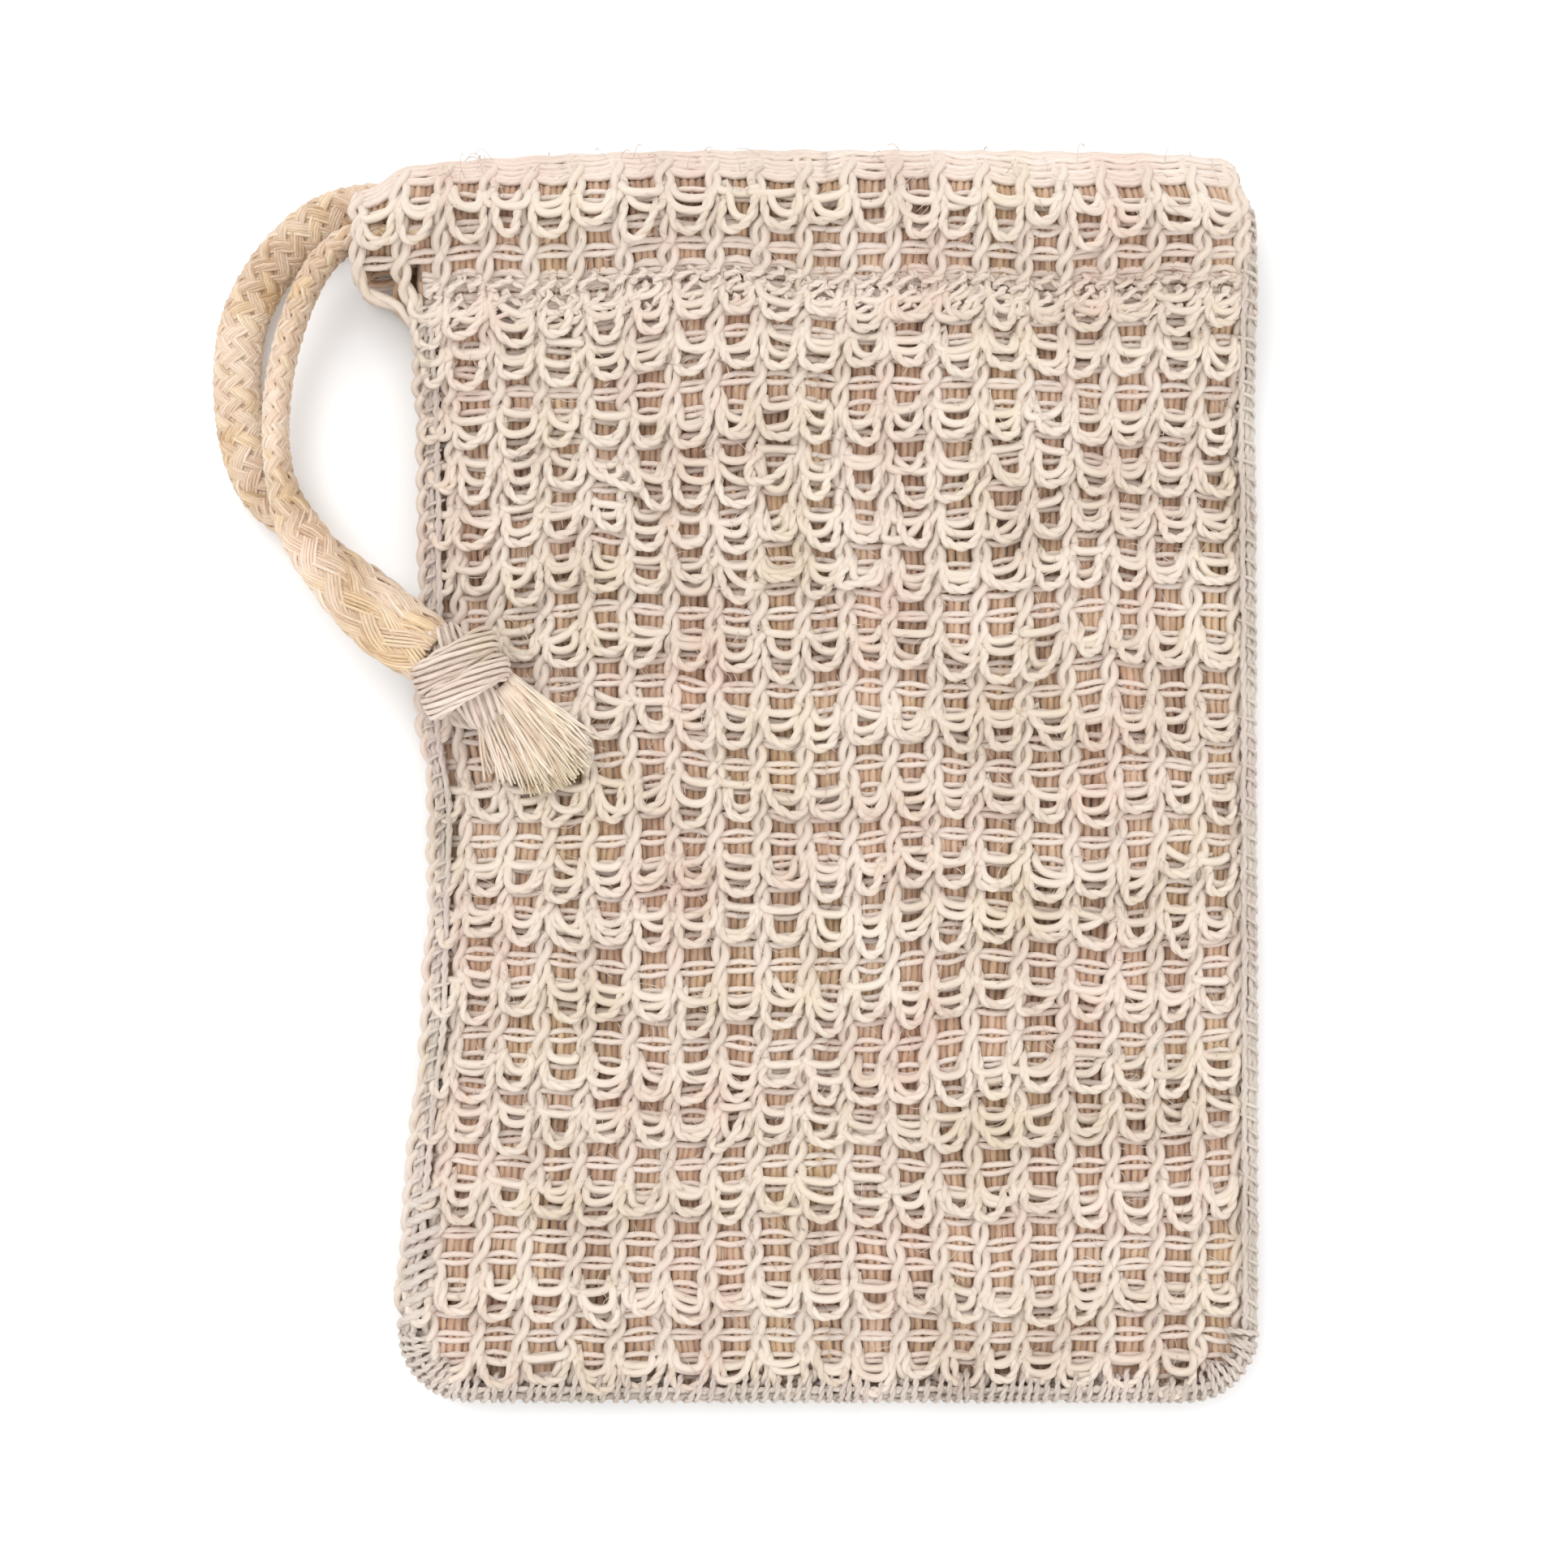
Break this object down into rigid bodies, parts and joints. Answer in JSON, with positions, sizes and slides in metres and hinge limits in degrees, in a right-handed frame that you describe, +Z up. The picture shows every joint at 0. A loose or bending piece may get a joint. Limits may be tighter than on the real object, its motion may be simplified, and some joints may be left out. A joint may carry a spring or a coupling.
{
  "type": "knitted exfoliating soap pouch",
  "caption": "Flat knitted cotton exfoliating pouch for soap, with terry loops, a hemmed mouth that opens and a braided drawstring that ends in a knotted, frayed hanging loop.",
  "frame": {"origin": "centre of the back panel's underside, where the pouch rests on a table", "axes": "+X across the pouch with the drawstring's loop on the -X side, +Y towards the mouth, +Z up out of the front wall"},
  "size_m": [0.112, 0.134, 0.0161],
  "materials": {
    "knit_cotton": "matt knitted cotton with terry loops",
    "stitch_thread": "matt cotton thread",
    "cord_braid": "braided cotton cord",
    "cord_fray": "frayed cotton fibres"
  },
  "bodies": {
    "pouch": {"back_panel": "knit_cotton", "front_panel_left": "knit_cotton", "front_panel_right": "knit_cotton", "left_side_seam": "stitch_thread", "right_side_seam": "stitch_thread", "bottom_seam": "stitch_thread", "back_hem": "knit_cotton", "front_hem_left": "knit_cotton", "front_hem_right": "knit_cotton", "hem_right_end": "knit_cotton", "back_hem_stitching": "stitch_thread", "front_hem_stitching_left": "stitch_thread", "front_hem_stitching_right": "stitch_thread", "casing_cord": "cord_braid"},
    "front_wall": {"front_panel_middle": "knit_cotton", "front_hem_middle": "knit_cotton", "front_hem_stitching_middle": "stitch_thread", "casing_cord_middle": "cord_braid"},
    "drawstring": {"cord_end_back": "cord_braid", "cord_end_front": "cord_braid"},
    "loop": {"loop_strand_upper": "cord_braid", "loop_strand_lower": "cord_braid", "knot": "cord_braid", "tassel_left": "cord_fray", "tassel_right": "cord_fray"}
  },
  "joints": [
    {"name": "mouth_open", "type": "hinge", "parent": "pouch", "child": "front_wall", "pos_m": [0, -0.063, 0.0055], "axis": [1, 0, 0], "range_deg": [0, 9]},
    {"name": "drawstring_pull", "type": "slide", "parent": "pouch", "child": "drawstring", "axis": [-1, 0, 0], "range_m": [0, 0.024]},
    {"name": "loop_swing", "type": "hinge", "parent": "drawstring", "child": "loop", "pos_m": [-0.0542, 0.0596, 0.0067], "axis": [0, 0, 1], "range_deg": [-75, 0]}
  ]
}
